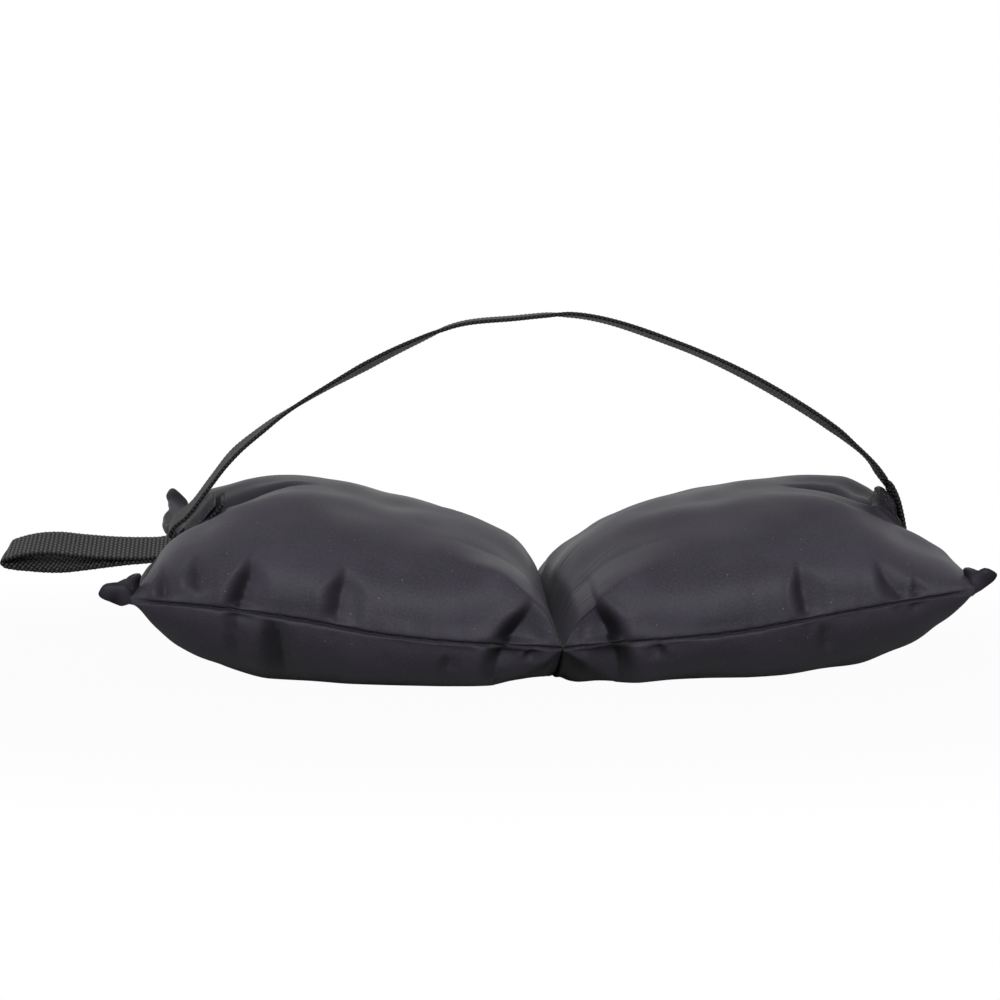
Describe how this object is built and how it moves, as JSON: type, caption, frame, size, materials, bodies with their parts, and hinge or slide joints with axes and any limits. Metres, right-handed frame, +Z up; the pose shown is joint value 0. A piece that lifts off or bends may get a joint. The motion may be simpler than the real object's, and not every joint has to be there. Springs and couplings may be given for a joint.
{
  "type": "sandbag trainer",
  "caption": "Saddle-shaped sandbag trainer: filled fabric pouches joined by a pinched centre seam, with an arched webbing carry strap from end to end and a hang loop at one end.",
  "frame": {"origin": "on the surface the bag rests on, under the centre of its overall box", "axes": "+X from the end with the hang loop to the other end, -Y towards the viewer's side, +Z up"},
  "size_m": [0.4173, 0.1713, 0.1569],
  "materials": {
    "bag_cloth": "very dark grey coated woven nylon with a slight sheen",
    "webbing": "black ribbed polyester webbing",
    "thread": "bonded black sewing thread",
    "liner_film": "soft grey liner film",
    "sand": "dry washed sand",
    "tie_nylon": "natural nylon cable tie"
  },
  "bodies": {
    "left_pouch": {"top_panel_left": "bag_cloth", "bottom_panel_left": "bag_cloth", "liner_left": "liner_film", "liner_tie_left": "tie_nylon", "sand_left": "sand", "front_seam_thread_left": "thread", "back_seam_thread_left": "thread", "end_seam_thread_left": "thread", "strap_tack_left": "thread", "strap_end_left": "webbing", "centre_seam_thread": "thread", "loop_end": "webbing"},
    "right_pouch": {"top_panel_right": "bag_cloth", "bottom_panel_right": "bag_cloth", "liner_right": "liner_film", "liner_tie_right": "tie_nylon", "sand_right": "sand", "front_seam_thread_right": "thread", "back_seam_thread_right": "thread", "end_seam_thread_right": "thread", "strap_tack_right": "thread", "strap_end_right": "webbing"},
    "strap_foot": {"strap_foot": "webbing"},
    "strap_rise_left": {"strap_rise_left": "webbing"},
    "strap_top_left": {"strap_top_left": "webbing"},
    "strap_top_right": {"strap_top_right": "webbing"},
    "strap_rise_right": {"strap_rise_right": "webbing"},
    "hang_loop": {"hang_loop": "webbing"}
  },
  "joints": [
    {"name": "saddle_fold", "type": "hinge", "parent": "left_pouch", "child": "right_pouch", "pos_m": [0.0315, 0, 0.0264], "axis": [0, -1, 0], "range_deg": [-20, 35]},
    {"name": "strap_root_turn", "type": "hinge", "parent": "left_pouch", "child": "strap_foot", "pos_m": [-0.13391, 0, 0.05995], "axis": [0, -1, 0], "range_deg": [-9.63, 16.84]},
    {"name": "strap_swing", "type": "hinge", "parent": "strap_foot", "child": "strap_rise_left", "pos_m": [-0.13391, 0, 0.05995], "axis": [0.9977, 0, 0.068], "range_deg": [-20, 20]},
    {"name": "left_shoulder_bend", "type": "hinge", "parent": "strap_rise_left", "child": "strap_top_left", "pos_m": [-0.08198, 0, 0.11313], "axis": [0, -1, 0], "range_deg": [-13.14, 22.99]},
    {"name": "apex_bend", "type": "hinge", "parent": "strap_top_left", "child": "strap_top_right", "pos_m": [0.01395, 0, 0.15418], "axis": [0, -1, 0], "range_deg": [-42.99, 24.57]},
    {"name": "right_shoulder_bend", "type": "hinge", "parent": "strap_top_right", "child": "strap_rise_right", "pos_m": [0.12945, 0, 0.12233], "axis": [0, -1, 0], "range_deg": [-11.65, 20.37]},
    {"name": "loop_flip", "type": "hinge", "parent": "left_pouch", "child": "hang_loop", "pos_m": [-0.13524, 0, 0.05752], "axis": [0, 1, 0], "range_deg": [-40, 60]}
  ],
  "couplings": [
    {"joint": "strap_root_turn", "follows": "saddle_fold", "ratio": 0.48091},
    {"joint": "left_shoulder_bend", "follows": "saddle_fold", "ratio": 0.65669},
    {"joint": "apex_bend", "follows": "saddle_fold", "ratio": -1.2281},
    {"joint": "right_shoulder_bend", "follows": "saddle_fold", "ratio": 0.58181}
  ]
}
